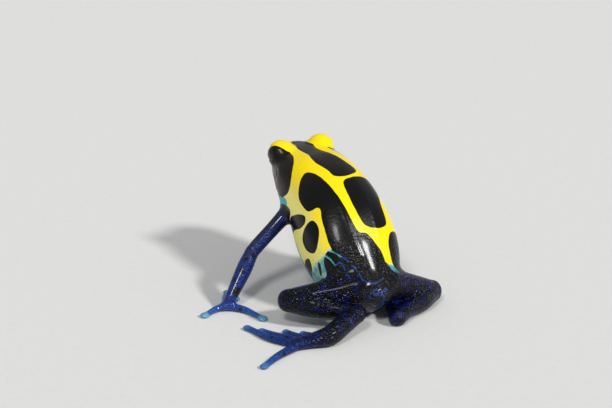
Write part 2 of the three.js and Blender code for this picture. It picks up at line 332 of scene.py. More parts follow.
# A narrow crease of skin stands over each hip bone, down the back
CREASE = ((3.0, -11.6, 21.8), (2.9, -9.5, 19.9), (2.8, -7.3, 17.5), (2.6, -5.9, 15.5), (2.3, -4.6, 13.7))
CREASE_STEPS = 8
CREASE_HEIGHT, CREASE_WIDTH, CREASE_REACH = 0.1, 0.4, 1.5
crease = smooth_run(CREASE, CREASE_STEPS)
for side in (1, -1):
    far = np.full(trunk.shape, FAR, np.float32)
    for x, y, z in crease:
        box = tuple(
            slice(*np.searchsorted(axis.ravel(), (at - CREASE_REACH, at + CREASE_REACH)))
            for axis, at in zip((tx, ty, tz), (side * x, y, z))
        )
        apart = (tx[box[0]] - side * x) ** 2 + (ty[:, box[1]] - y) ** 2 + (tz[:, :, box[2]] - z) ** 2
        far[box] = np.minimum(far[box], apart)
    trunk -= CREASE_HEIGHT * np.exp(-far / CREASE_WIDTH**2)


def unit(*vector):
    """The same direction with a length of 1."""
    return np.array(vector) / np.linalg.norm(vector)


# Places on the left of the head, which the right mirrors. The lids part over a slit, a low ring of skin
# stands round each nostril, and a groove rings each eardrum, a shallow dome behind the eye.
EYE = np.array((4.9, -35.0, 25.4))
EYEBALL_R = 2.25
LOOK = unit(0.93, -0.3, 0.12)
BROW_R, BROW_BLEND = 2.75, 1.3
BROW_SHIFT = np.array((-0.42, 0.15, 0.1))  # from the eyeball's centre
LID_THICK, LID_BLEND, LID_EDGE = 0.16, 0.5, 0.16
OPENING = (1.85, 1.6)  # half length and half height of the slit
OPENING_FLOOR = 0.6  # how far out of the eyeball's centre the slit ends
NOSTRIL = np.array((2.55, -40.3, 24.6))
NOSTRIL_R, NOSTRIL_EDGE = 0.36, 0.15
NOSTRIL_RING, NOSTRIL_RING_R, NOSTRIL_RING_WIDTH = 0.1, 0.6, 0.3
DRUM = np.array((7.42, -31.2, 22.6))
DRUM_FACE = unit(0.96, -0.27, 0.1)
DRUM_R, DRUM_THICK = 1.08, 1.2
DRUM_GROOVE, DRUM_GROOVE_WIDTH = 0.1, 0.2
DRUM_DOME, DRUM_DOME_WIDTH = 0.05, 0.6


def mound(distance, width):
    """1 at no distance, and falling to nothing at about twice the width."""
    return np.exp(-((distance / width) ** 2))


def far_from(point):
    """How far each sampled point of the trunk is from one point."""
    return np.sqrt((tx - point[0]) ** 2 + (ty - point[1]) ** 2 + (tz - point[2]) ** 2)


def settled(point):
    """The place on the trunk's surface nearest to a point close to it."""
    point = np.array(point, float)
    for _ in range(3):
        at = tuple(np.rint((point - [a.ravel()[0] for a in (tx, ty, tz)]) / STEP).astype(int))
        box = tuple(slice(k - 1, k + 2) for k in at)
        slope = np.array([g[1, 1, 1] for g in np.gradient(trunk[box], STEP)])
        point -= trunk[at] * slope / (slope @ slope)
    return point


def eye_axes(side):
    """Unit vectors out of the eye, along its slit and up across it."""
    out = LOOK * (side, 1, 1)
    along = np.cross(out, (0, 0, 1))
    along /= np.linalg.norm(along)
    return out, along, np.cross(along, out)


for side in (1, -1):
    mirror = np.array((side, 1, 1))
    eye = EYE * mirror
    trunk = join(trunk, far_from(eye + BROW_SHIFT * mirror) - BROW_R, BROW_BLEND)
    trunk = join(trunk, far_from(eye) - EYEBALL_R - LID_THICK, LID_BLEND)
    out, along, across = (
        (tx - eye[0]) * a[0] + (ty - eye[1]) * a[1] + (tz - eye[2]) * a[2] for a in eye_axes(side)
    )
    slit = (np.hypot(along / OPENING[0], across / OPENING[1]) - 1) * OPENING[1]
    trunk = carve(trunk, np.maximum(slit, OPENING_FLOOR - out), LID_EDGE)
    rim = far_from(settled(NOSTRIL * mirror))
    trunk -= NOSTRIL_RING * mound(rim - NOSTRIL_RING_R, NOSTRIL_RING_WIDTH)
    trunk = carve(trunk, rim - NOSTRIL_R, NOSTRIL_EDGE)
    drum = DRUM * mirror
    face = DRUM_FACE * mirror
    off = (tx - drum[0]) * face[0] + (ty - drum[1]) * face[1] + (tz - drum[2]) * face[2]
    ring = np.sqrt(np.maximum(far_from(drum) ** 2 - off**2, 0))
    sunk = DRUM_GROOVE * mound(ring - DRUM_R, DRUM_GROOVE_WIDTH)
    trunk += mound(off, DRUM_THICK) * (sunk - DRUM_DOME * mound(ring, DRUM_DOME_WIDTH))

# The closed mouth is a groove round the snout that runs down to its corners, with a lip on each side
MOUTH_Y, MOUTH_Z, MOUTH_DROP = -41.0, 21.7, 0.114
CORNER_Y, CORNER_FADE = -29.4, 1.2
BEND_Y, BEND_LENGTH, BEND_DROP = -32.5, 3.0, 0.35  # where the line turns down to the corner
GROOVE_DEPTH, GROOVE_WIDTH = 0.5, 0.2
LIP_HEIGHT, LIP_OFF, LIP_WIDTH = 0.12, 0.55, 0.3
turned_down = BEND_DROP * np.clip((ty - BEND_Y) / BEND_LENGTH, 0, 1) ** 2
lip = tz - (MOUTH_Z - MOUTH_DROP * (ty - MOUTH_Y) - turned_down)
closing = np.clip((CORNER_Y - ty) / CORNER_FADE, 0, 1)
groove = GROOVE_DEPTH * mound(lip, GROOVE_WIDTH)
trunk += closing * (groove - LIP_HEIGHT * mound(np.abs(lip) - LIP_OFF, LIP_WIDTH))
flesh[trunk_part] = trunk
trunk_only = flesh.copy()

# Half thickness of each limb from its root to the tips of its digits, and the pose, joint by joint:
# an arm's shoulder, elbow, wrist and palm, a leg's hip, knee, heel, ankle and sole, and each digit's root,
# bend and tip, in x and y.
ARM = {"shoulder": 1.9, "upper": 1.5, "elbow": 1.45, "forearm": 1.6, "wrist": 1.25}
LEG = {"hip": 3.0, "thigh": 2.8, "knee": 1.95, "calf": 2.4, "shin": 1.75, "heel": 1.75, "ankle": 1.95}
PALM, SOLE = (1.5, 1.0), (1.95, 1.2)  # half width and half height
FINGER = {"root": 0.8, "shaft": 0.68, "neck": 0.56, "disc": 0.98, "disc_height": 0.52}
TOE = {"root": 0.88, "shaft": 0.72, "neck": 0.6, "disc": 0.85, "disc_height": 0.52}
PALM_TAPER, THIGH_TAPER, SOLE_TAPER = 0.8, 0.88, 0.9
KNEE_HEIGHT = 1.15  # as a share of its width
KNUCKLES_AT, DISC_NECK_AT = 1.9, 0.72  # as shares of the way from wrist to palm and from bend to tip
PRESS = 0.12  # how far the floor flattens a digit
ROOT_LIFT, BEND_LIFT = 0.15, 0.1  # how far a digit's root and bend stand off the floor
ARM_BLEND, THIGH_BLEND, SHANK_BLEND, FOOT_BLEND, DIGIT_BLEND = 1.3, 2.0, 0.35, 0.4, 0.45
LIMB_STEPS, DIGIT_STEPS = 6, 5
LIMB_ROOM = 0.6  # sampled round a limb, past its blend
LEAST_STEEPNESS = 0.02
POSE = {
    "left": {
        "arm": ((5.6, -25.8, 17.9), (16.2, -24.4, 9.8), (22.5, -20.9, 2.5), (23.2, -20.7, 1.1)),
        "leg": ((3.4, -3.6, 7.1), (15.8, -9.1, 5.0), (5.6, 0.4, 3.9), (13.0, 3.2, 1.9), (18.6, 1.9, 1.0)),
        "fingers": (
            ((22.4, -21.6), (21.2, -23.0), (20.2, -23.9)),
            ((23.4, -21.8), (22.0, -24.9), (20.3, -27.6)),
            ((23.8, -20.6), (26.0, -20.6), (29.0, -19.4)),
            ((22.8, -19.8), (21.0, -17.6), (19.4, -12.9)),
        ),
        "toes": (
            ((14.6, 1.8), (15.0, -0.6), (15.6, -2.8)),
            ((16.6, 1.4), (17.6, -1.8), (18.2, -5.0)),
            ((18.2, 1.4), (20.6, -3.2), (22.2, -7.6)),
            ((19.2, 1.8), (22.4, -3.2), (24.1, -10.2)),
            ((19.4, 2.4), (24.4, 4.4), (28.7, 6.9)),
        ),
    },
    "right": {
        "arm": ((-5.6, -25.6, 17.2), (-12.8, -21.5, 9.4), (-14.6, -29.2, 2.5), (-14.6, -30.0, 1.1)),
        "leg": ((-3.4, -3.8, 6.9), (-14.6, -5.6, 2.4), (-3.2, 0.8, 1.6), (-6.8, -7.2, 1.5), (-9.2, -12.4, 1)),
        "fingers": (
            ((-14.0, -30.4), (-11.8, -31.4), (-9.6, -32.2)),
            ((-14.2, -31.0), (-13.0, -34.0), (-11.6, -36.6)),
            ((-14.8, -31.0), (-14.8, -35.2), (-14.6, -39.4)),
            ((-15.2, -30.4), (-17.8, -33.0), (-20.2, -35.4)),
        ),
        "toes": (
            ((-7.6, -9.8), (-6.2, -12.0), (-5.2, -14.0)),
            ((-8.4, -11.8), (-7.0, -15.4), (-6.2, -18.6)),
            ((-9.2, -12.8), (-9.4, -17.6), (-10.0, -22.2)),
            ((-9.8, -12.6), (-12.2, -18.6), (-14.8, -24.2)),
            ((-10.0, -12.0), (-13.6, -14.4), (-17.4, -16.8)),
        ),
    },
}
limb_lines = []  # points along the limbs: x, y, z, thickness, how far down, and 1 on an arm or 0 on a leg


def station(point, width, height=None):
    """A place on a limb with its half width and half height."""
    return (*point, width, width if height is None else height)


def part_way(start, end, share):
    """The place a share of the way from start to end."""
    return tuple(a + (b - a) * share for a, b in zip(start, end))


def add_limb(stations, blend, reach, is_arm, between=LIMB_STEPS):
    """Joins a round limb to the flesh. Reach is how far down the limb it starts and ends, from 0 to 1."""
    global flesh
    run = smooth_run(stations, between)
    down = np.linspace(*reach, len(run))
    limb_lines.extend((*p[:3], (p[3] + p[4]) / 2, d, is_arm) for p, d in zip(run, down))
    room = run[:, 3].max() + blend + LIMB_ROOM
    part, *_ = around(run[:, :3].min(0) - room, run[:, :3].max(0) + room)
    limb = np.full(flesh[part].shape, FAR, np.float32)
    for a, b in zip(run, run[1:]):
        reach_out = max(a[3], b[3]) + blend + LIMB_ROOM
        piece, x, y, z = around(np.minimum(a, b)[:3] - reach_out, np.maximum(a, b)[:3] + reach_out)
        local = tuple(slice(s.start - p.start, s.stop - p.start) for s, p in zip(piece, part))
        step = b - a
        along = (x - a[0]) * step[0] + (y - a[1]) * step[1] + (z - a[2]) * step[2]
        share = np.clip(along / (step[:3] @ step[:3]), 0, 1)
        flat = (x - a[0] - share * step[0]) ** 2 + (y - a[1] - share * step[1]) ** 2
        tall = (z - a[2] - share * step[2]) ** 2
        width, height = a[3] + share * step[3], a[4] + share * step[4]
        scaled = np.sqrt(flat / width**2 + tall / height**2)
        steep = np.sqrt(flat / width**4 + tall / height**4)
        limb[local] = np.minimum(limb[local], scaled * (scaled - 1) / np.maximum(steep, LEAST_STEEPNESS))
    flesh[part] = join(flesh[part], limb, blend)


def add_digit(root, bend, tip, size, is_arm):
    """A finger or toe lying on the floor, with a flattened disc at its tip."""
    near = part_way(bend, tip, DISC_NECK_AT)
    add_limb(
        [
            station((*root, size["root"] + ROOT_LIFT - PRESS), size["root"]),
            station((*bend, size["shaft"] + BEND_LIFT - PRESS), size["shaft"]),
            station((*near, size["neck"] - PRESS), size["neck"]),
            station((*tip, size["disc_height"] - PRESS), size["disc"], size["disc_height"]),
        ],
        blend=DIGIT_BLEND,
        reach=(0.72, 1.0),
        is_arm=is_arm,
        between=DIGIT_STEPS,
    )


for pose in POSE.values():
    shoulder, elbow, wrist, palm = pose["arm"]
    knuckles = (*part_way(wrist, palm, KNUCKLES_AT)[:2], palm[2])
    add_limb(
        [
            station(shoulder, ARM["shoulder"]),
            station(part_way(shoulder, elbow, 0.45), ARM["upper"]),
            station(part_way(shoulder, elbow, 0.93), ARM["elbow"]),
            station(part_way(elbow, wrist, 0.08), ARM["elbow"]),
            station(part_way(elbow, wrist, 0.42), ARM["forearm"]),
            station(wrist, ARM["wrist"]),
            station(palm, *PALM),
            station(knuckles, PALM[0] * PALM_TAPER, PALM[1] * PALM_TAPER),
        ],
        blend=ARM_BLEND,
        reach=(0.0, 0.7),
        is_arm=1,
    )
    for digit in pose["fingers"]:
        add_digit(*digit, FINGER, is_arm=1)
    hip, knee, heel, ankle, sole = pose["leg"]
    knee_sizes = (LEG["knee"], LEG["knee"] * KNEE_HEIGHT)
    add_limb(
        [
            station(hip, LEG["hip"]),
            station(part_way(hip, knee, 0.4), LEG["thigh"]),
            station(part_way(hip, knee, 0.75), LEG["thigh"] * THIGH_TAPER),
            station(knee, *knee_sizes),
        ],
        blend=THIGH_BLEND,
        reach=(0.0, 0.3),
        is_arm=0,
    )
    add_limb(
        [
            station(knee, *knee_sizes),
            station(part_way(knee, heel, 0.35), LEG["calf"]),
            station(part_way(knee, heel, 0.7), LEG["shin"]),
            station(heel, LEG["heel"]),
        ],
        blend=SHANK_BLEND,
        reach=(0.3, 0.5),
        is_arm=0,
    )
    add_limb(
        [
            station(heel, LEG["heel"]),
            station(part_way(heel, ankle, 0.5), LEG["ankle"]),
            station(ankle, LEG["ankle"]),
            station(part_way(ankle, sole, 0.55), *SOLE),
            station(sole, SOLE[0] * SOLE_TAPER, SOLE[1] * SOLE_TAPER),
        ],
        blend=FOOT_BLEND,
        reach=(0.5, 0.72),
        is_arm=0,
    )
    for digit in pose["toes"]:
        add_digit(*digit, TOE, is_arm=0)

FLOOR_EDGE = 0.15
flesh = carve(flesh, ZS[None, None, :], FLOOR_EDGE)


def surface_of(field):
    """Points and four-sided faces of the surface where a sampled volume ends."""
    inside = field < 0
    corner_count = np.array(field.shape)
    stride = np.array((corner_count[1] * corner_count[2], corner_count[2], 1))
    cells, crossings = [], []
    for axis in range(3):
        span = [slice(None)] * 3
        span[axis] = slice(None, -1)
        ahead = [slice(None)] * 3
        ahead[axis] = slice(1, None)
        here, there = inside[tuple(span)], inside[tuple(ahead)]
        at = np.argwhere(here != there)
        step = np.eye(3, dtype=int)[axis]
        first, second = field[tuple(at.T)], field[tuple((at + step).T)]
        point = at + step * (first / (first - second))[:, None]
        b, c = np.eye(3, dtype=int)[(axis + 1) % 3], np.eye(3, dtype=int)[(axis + 2) % 3]
        loop = np.stack([(at - d) @ stride for d in (0 * b, b, b + c, c)], 1)
        flip = ~here[tuple(at.T)]
        loop[flip] = loop[flip][:, ::-1]
        cells.append(loop)
        crossings.append(point)
    cells = np.concatenate(cells)
    crossings = np.concatenate(crossings)
    _, faces = np.unique(cells, return_inverse=True)
    faces = faces.reshape(-1, 4)
    owner = faces.ravel()
    count = np.bincount(owner)
    spread = np.repeat(crossings, 4, axis=0)
    points = np.stack([np.bincount(owner, spread[:, k]) / count for k in range(3)], 1)
    return points * STEP + (XS[0], YS[0], ZS[0]), faces


def eased(points, faces, times):
    """The points drawn half way to the middle of their neighbours, so many times over."""
    start = faces.ravel()
    end = np.roll(faces, -1, 1).ravel()
    both = np.concatenate((start, end))
    other = np.concatenate((end, start))
    count = np.bincount(both, minlength=len(points))
    for _ in range(times):
        middle = np.stack([np.bincount(both, points[other, k], len(points)) / count for k in range(3)], 1)
        points = points + 0.5 * (middle - points)
    return points


EASE_TIMES = 3
points, faces = surface_of(flesh)
points = eased(points, faces, EASE_TIMES)
points[:, 2] = np.maximum(points[:, 2], 0.0)

# The markings are drawn on the trunk as on a map: mm back from the snout along the spine, and mm down from
# it, more than 0 on the left. Each is the outline of one black spot.
SPOTS = {
    "head_top": (
        (2.5, 0), (4.5, -2.5), (8.5, -2), (11.5, -1.5), (16, -2.5), (19.5, -4), (22, -5), (23.5, -4),
        (24.5, -1.5), (24, 1), (22, 1.5), (18, 2.5), (14, 2), (9.5, 2),
    ),
    "left_cheek": (
        (1.5, 4), (3, 6.5), (6, 10), (10, 14.5), (13.6, 15.6), (16, 13.2), (18.4, 12.5), (19.5, 10.5),
        (17, 7.5), (13, 4.7), (7, 3.6), (2.5, 2.6),
    ),
    "right_cheek": (
        (1.5, -4), (3, -6.5), (6, -10), (10, -14.5), (13.6, -15.6), (16, -13.4), (18, -13), (19, -10.5),
        (17, -7.5), (13, -5), (7, -3.8), (2.5, -2.8),
    ),
    "left_back": (
        (20, 6), (21, 4.5), (24, 3.5), (30, 2.5), (37, 1.5), (38.5, -0.5), (43, -2.5), (46.5, -2),
        (49, 1), (47, 3), (42, 5), (39, 7.5), (33, 7.5), (30, 7), (29, 9.5), (25, 10), (22, 8.5),
    ),
    "tail_end": (
        (43.6, -1.2), (44.7, -3.1), (45.8, -3.4), (46.8, -4.2), (47.4, -6.2), (49, -6.5), (50, -2),
        (48, 0), (45, -0.3),
    ),
    "right_back": (
        (26, 0), (25, -2.5), (24.5, -6), (25, -8), (27, -8.7), (32, -6.7), (35.5, -6.2), (37, -5.3),
        (37.5, -3), (36.5, -0.5), (34, 0.2), (30, 0.5),
    ),
    "left_rear": (
        (39, 8.2), (40, 6.6), (42.4, 4.8), (45.5, 2), (49, 1), (50, 5), (48.6, 9), (46, 12),
        (43.6, 12.4), (42.6, 10.4), (40.9, 10.2), (39.8, 9.6),
    ),
    "right_rear": ((38, -7), (40, -5), (43, -4.5), (46, -5), (45, -9), (42, -12), (38, -11)),
    "left_oval": (
        (31.5, 9.5), (33.5, 8.7), (36, 9.5), (37.7, 11.5), (36, 13.7), (33.5, 14), (31.7, 12),
    ),
    "left_armpit": (
        (24.6, 15), (26, 13.4), (28, 11.4), (29.6, 10.6), (30.8, 11.4), (30.6, 13.4), (29, 15.6),
        (28, 19), (24, 19),
    ),
    "left_throat": ((16.5, 15), (18.6, 14), (22, 13.6), (24, 14.6), (23.5, 18), (21, 20), (17, 18)),
    "left_streak": ((39.5, 11.5), (40.2, 11.1), (41.6, 11.8), (41.4, 12.4), (40.3, 12.1)),
    "left_low": ((37, 16), (37.7, 14), (39.5, 14.7), (40, 19), (38, 19.5)),
    "right_oval": ((29, -11), (32, -9.5), (35, -10.5), (36, -13), (33, -15), (30, -14)),
    "right_armpit": ((22, -12), (25, -11), (27, -13), (26, -16), (23, -16)),
    "right_low": ((37, -14), (39, -13.5), (40.5, -16), (39.5, -19.5), (37.5, -18)),
}
WORK_SHARES = 60  # the points are worked on a share at a time, to save memory
ROUND_STEPS = 90
outline_angle = np.radians(np.linspace(0, 180, ROUND_STEPS))
across_out = np.sin(outline_angle)[None] ** np.where(np.cos(outline_angle) > 0, sections[:, 6:7], 1.0)
across_out = across_out * sections[:, 3:4]
top_half = np.cos(outline_angle) > 0
high_out = np.abs(np.cos(outline_angle)) ** np.where(top_half, sections[:, 6:7], 1.0)
high_out = high_out * np.where(top_half, sections[:, 4:5], -sections[:, 5:6])
girth = np.hypot(np.diff(across_out, axis=1), np.diff(high_out, axis=1)).cumsum(1)
girth = np.hstack((np.zeros((len(sections), 1)), girth))
lean, top = sections[:, 2], sections[:, 4]
ridge = np.stack((sections[:, 0] + top * np.sin(lean), sections[:, 1] + top * np.cos(lean)), 1)
ridge_run = SNOUT_END + np.concatenate(([0.0], np.linalg.norm(np.diff(ridge, axis=0), axis=1).cumsum()))


def on_map(points):
    """Where points near the trunk lie on the map of markings."""
    shares = np.array_split(points, WORK_SHARES)
    number = np.concatenate([section_at(some[:, 1], some[:, 2])[0] for some in shares])
    centre_y, centre_z, pitch, half, over, under, roundness = section_sizes(number)
    high = (points[:, 1] - centre_y) * np.sin(pitch) + (points[:, 2] - centre_z) * np.cos(pitch)
    bend = np.where(high > 0, roundness, 1.0)
    sine = (np.abs(points[:, 0]) / half) ** (1 / bend)
    cosine = (np.abs(high) / np.where(high > 0, over, under)) ** (1 / bend)
    angle = np.arctan2(sine, np.where(high > 0, cosine, -cosine))
    column = angle / outline_angle[-1] * (ROUND_STEPS - 1)
    row = np.clip(np.rint(number).astype(int), 0, len(sections) - 1)
    first = np.clip(column.astype(int), 0, ROUND_STEPS - 2)
    down = girth[row, first] + (column - first) * (girth[row, first + 1] - girth[row, first])
    return np.interp(number, np.arange(len(sections)), ridge_run), np.sign(points[:, 0]) * down


EDGE_STEPS, EDGE_REACH = 8, 2
TINY = 1e-9  # keeps a stretch of no length from dividing by 0


def beside(along, down, outline):
    """How far points of the map lie outside a smooth closed outline, or less than 0 inside it."""
    edge = smooth_run(outline, EDGE_STEPS, closed=True)
    low, high = edge.min(0) - EDGE_REACH, edge.max(0) + EDGE_REACH
    near = np.nonzero((along > low[0]) & (along < high[0]) & (down > low[1]) & (down < high[1]))[0]
    u, v = along[near], down[near]
    least = np.full(len(near), FAR**2)
    inside = np.zeros(len(near), bool)
    for (ax, ay), (bx, by) in zip(edge, np.roll(edge, -1, 0)):
        dx, dy = bx - ax, by - ay
        share = np.clip(((u - ax) * dx + (v - ay) * dy) / (dx * dx + dy * dy + TINY), 0, 1)
        least = np.minimum(least, (u - ax - share * dx) ** 2 + (v - ay - share * dy) ** 2)
        if ay != by:
            inside ^= ((ay > v) != (by > v)) & (u < ax + (v - ay) / dy * dx)
    gap = np.full(len(along), FAR)
    gap[near] = np.sqrt(least) * np.where(inside, -1, 1)
    return gap


back_along, back_down = on_map(points)
spot_gap = np.min([beside(back_along, back_down, outline) for outline in SPOTS.values()], axis=0)


def sampled(field, points):
    """A sampled volume's value at any points."""
    at = (points - (XS[0], YS[0], ZS[0])) / STEP
    first = np.clip(at.astype(int), 0, np.array(field.shape) - 2)
    part = at - first
    total = 0.0
    for corner in np.ndindex(2, 2, 2):
        weight = np.prod(np.where(corner, part, 1 - part), axis=1)
        total = total + weight * field[tuple((first + corner).T)]
    return total


off_trunk = sampled(trunk_only, points)
limb_lines = np.array(limb_lines)
nearest = []
for some in np.array_split(points, WORK_SHARES):
    gap = np.linalg.norm(some[:, None] - limb_lines[None, :, :3], axis=2) - limb_lines[:, 3]
    nearest.append(gap.argmin(1))
nearest = np.concatenate(nearest)

# Black blots on the left arm, each a centre and a radius in mm, and a black edge along its top
ARM_BLOTS = (
    ((19.7, -21.6, 7.3), 0.6),
    ((21.6, -20.0, 3.7), 0.95),
    ((16.7, -22.8, 9.7), 0.5),
    ((18.3, -22.7, 9.2), 0.42),
    ((21.6, -21.7, 5.7), 0.5),
)
ARM_EDGE = ((9.3, -26.0, 17.5), (13.7, -25.4, 13.9), (16.2, -25.3, 11.9), (18.4, -24.6, 9.8))
ARM_EDGE_R = 0.95
LINE_STEPS = 6
blots = [*ARM_BLOTS, *((centre, ARM_EDGE_R) for centre in smooth_run(ARM_EDGE, LINE_STEPS))]
limb_gap = np.min([np.linalg.norm(points - centre, axis=1) - radius for centre, radius in blots], axis=0)


def ramp_up(value, low, high):
    """0 below low and 1 above high, with a soft slope between."""
    share = np.clip((value - low) / (high - low), 0, 1)
    return share * share * (3 - 2 * share)


# Above each eye the lid is yellow, and round and below the eye it is black. Each row is a side, how far
# behind the eye's centre the yellow reaches, and how far above it the yellow starts.
LID_YELLOW = ((1, 1.0, 1.1), (-1, 3.4, 0.2))
LID_REACH = (3.2, 3.8)
BEHIND = (0.81, 0.59, -0.23)
for side, reach_behind, lid_foot in LID_YELLOW:
    from_eye = points - EYE * (side, 1, 1)
    on_lid = 1 - ramp_up(np.linalg.norm(from_eye, axis=1), *LID_REACH)
    how_far_behind = from_eye @ (BEHIND[0] * side, *BEHIND[1:])
    on_top = np.minimum(reach_behind - how_far_behind, from_eye[:, 2] - lid_foot)
    spot_gap = on_lid * on_top + (1 - on_lid) * spot_gap

# Thin crooked lines cross the black of the rump, turquoise where they leave the yellow and blue beyond
RUMP_LINES = (
    ((38.6, 8.6), (39.2, 7.9), (40.0, 7.0), (41.1, 6.1), (41.9, 5.4), (42.6, 4.9)),
    ((43.6, 4.4), (44.1, 3.9), (44.7, 3.8)),
    ((45.4, 3.4), (46.1, 3.3), (46.9, 3.0)),
    ((38.9, 9.8), (39.9, 8.9), (40.8, 8.2), (41.4, 8), (42, 7.6), (42, 6.6), (42.8, 6.2), (43.6, 6)),
    ((44.4, 5.9), (45.2, 5.3), (45.9, 5.5)),
    ((46.6, 3.1), (47.4, 2.7), (48.2, 1.7), (48.2, 0.4), (47.6, -1.0)),
)
LINE_HALF = 0.12
RUMP_START, RUMP_HALF = 37, 13
far_down = np.abs(back_down)
on_rump = np.nonzero((back_along > RUMP_START) & (far_down < RUMP_HALF))[0]
line_gap = np.full(len(points), FAR)
for line in RUMP_LINES:
    for s, down in smooth_run(line, LINE_STEPS):
        spread = np.hypot(back_along[on_rump] - s, back_down[on_rump] - down) - LINE_HALF
        line_gap[on_rump] = np.minimum(line_gap[on_rump], spread)

# The yellow pales down the sides. It cools to turquoise towards the belly and the rump, and the belly and
# the end of the rump are black under a fine blue net. Each pair is where on the map one of these starts
# and where it is full.
PALE = (7.0, 12.0)  # mm down the side
HIND_DOWN, HIND_SHIFT = (-14, -10, -7, -2, 1, 4, 8, 18), (4, 4, 0, 0, 1, 5.6, 5.9, 5.6)
COOL_HIND = (43.8, 46.0)  # mm back, with the shift for each side
COOL_DOWN, COOL_SHARE = (-4, 8, 10.5, 18), (1.0, 1.0, 0.6, 0.7)
FLANK_BACK, FLANK_EDGE = (0, 14, 20, 24, 30, 50), (13, 11.8, 12.0, 15.5, 17.0, 17.0)
COOL_BELOW, NET_BELOW = (-0.3, 1.4), (1.6, 3.6)  # mm below the flank's edge
NET_BEHIND = (46.2, 47.2)
NET_LEAN, NET_LEAN_OVER = 0.25, (-6, 8)  # mm sooner for each mm to the left, between these
NET_FLANK, NET_FLANK_FROM = 0.4, 9  # and for each mm down either side, from here
NET_RIGHT, NET_RIGHT_FROM, NET_RIGHT_LATE = 0.6, 7, 0.6  # or, if sooner, this on the right
BLUE_LINES = (40.2, 42.0)  # where the lines turn blue
BLUE_LEAN, BLUE_LEAN_FROM, BLUE_LEFT_OF = 0.55, 6, 3
hind = back_along + np.interp(back_down, HIND_DOWN, HIND_SHIFT)
lower = far_down - np.interp(back_along, FLANK_BACK, FLANK_EDGE)
cool_hind = ramp_up(hind, *COOL_HIND) * np.interp(back_down, COOL_DOWN, COOL_SHARE)
rump = back_along + NET_LEAN * np.clip(back_down, *NET_LEAN_OVER)
rump += NET_FLANK * np.maximum(far_down - NET_FLANK_FROM, 0)
right_rump = back_along + NET_RIGHT * np.maximum(-back_down - NET_RIGHT_FROM, 0) - NET_RIGHT_LATE
rump = np.maximum(rump, right_rump)
line_turn = (back_along - BLUE_LEAN * (back_down - BLUE_LEAN_FROM)) * (back_down > BLUE_LEFT_OF)
netted = np.maximum(ramp_up(lower, *NET_BELOW), ramp_up(rump, *NET_BEHIND))

new_maps = {
    "spot_gap": spot_gap,
    "map_along": back_along,
    "paleness": ramp_up(far_down, *PALE),
    "coolness": np.maximum(ramp_up(lower, *COOL_BELOW), cool_hind),
    "blueness": np.maximum(netted, ramp_up(line_turn, *BLUE_LINES)),
    "netted": netted,
    "line_gap": line_gap,
    "limb_gap": limb_gap,
    "off_trunk": off_trunk,
    "limb_reach": limb_lines[nearest, 4],
    "is_arm": limb_lines[nearest, 5],
}

BLACK = linear(10, 10, 8)
HEAD_BLACK = linear(24, 19, 11)
YELLOW = linear(254, 226, 6)
CREAM = linear(252, 240, 132)
PALE_GREEN = linear(190, 216, 188)
TURQUOISE = linear(80, 166, 172)
NET_BLUE = linear(30, 66, 150)
LEG_BLACK = linear(3, 3, 7)
skin_look, skin_shader, skin_paint = new_material("wet_skin", Specular_IOR_Level=0.17, Coat_Roughness=0.1)
place = skin_paint.node("TexCoord", out="Object")


def skin_map(name):
    """One of the maps stored on the skin's points."""
    return skin_paint.node("Attribute", {"attribute_name": name}, out="Fac")


def grain(size, detail=2.0):
    """Soft blotches of about so many mm."""
    return skin_paint.node("TexNoise", {}, {"Vector": place, "Scale": 1 / (size * MM), "Detail": detail})


def pebbles(size, feature="F1"):
    """Cells of about so many mm: how far each place is from the middle of its cell, or from its edge."""
    sockets = {"Vector": place, "Scale": 1 / (size * MM)}
    return skin_paint.node("TexVoronoi", {"feature": feature}, sockets, out="Distance")


def wavering(name, amount, low, high):
    """One of the maps with an uneven edge, from 0 below low to 1 above high."""
    return (skin_map(name) + waver * amount).rise(low, high)


# The trunk: yellow that pales and cools, black spots with crisp edges, and the net and lines of the rump
EDGE_BLOTCH, NET_CELL, NET_BLOTCH = 1.2, 0.9, 1.5
NET_STRAND = 0.08
NET_UNEVEN = 0.5
HEAD_TO_BACK = (20.0, 26.0)
PALE_GREEN_OVER, TURQUOISE_OVER = (0.0, 0.5), (0.35, 1.0)  # shares of coolness
along, reach, arm = (skin_map(name) for name in ("map_along", "limb_reach", "is_arm"))
waver = grain(EDGE_BLOTCH) - 0.5
yellow = skin_map("paleness").shade(YELLOW, CREAM)
cool = wavering("coolness", amount=0.5, low=0.2, high=0.8)
chill = cool.rise(*TURQUOISE_OVER).shade(PALE_GREEN, TURQUOISE)
blue = wavering("blueness", amount=0.4, low=0.25, high=0.75)
ground = blue.shade(cool.rise(*PALE_GREEN_OVER).shade(yellow, chill), NET_BLUE)
net_edges = pebbles(NET_CELL, "DISTANCE_TO_EDGE") + (grain(NET_BLOTCH) - 0.5) * NET_UNEVEN
between_strands = net_edges.rise(0.0, NET_STRAND)
netted = wavering("netted", amount=0.4, low=0.25, high=0.75)
spots = 1 - wavering("spot_gap", amount=0.2, low=-0.06, high=0.06)
off_lines = wavering("line_gap", amount=0.3, low=-0.08, high=0.08)
black = spots.most(netted * between_strands) * off_lines
trunk_colour = black.shade(ground, along.rise(*HEAD_TO_BACK).shade(HEAD_BLACK, BLACK))


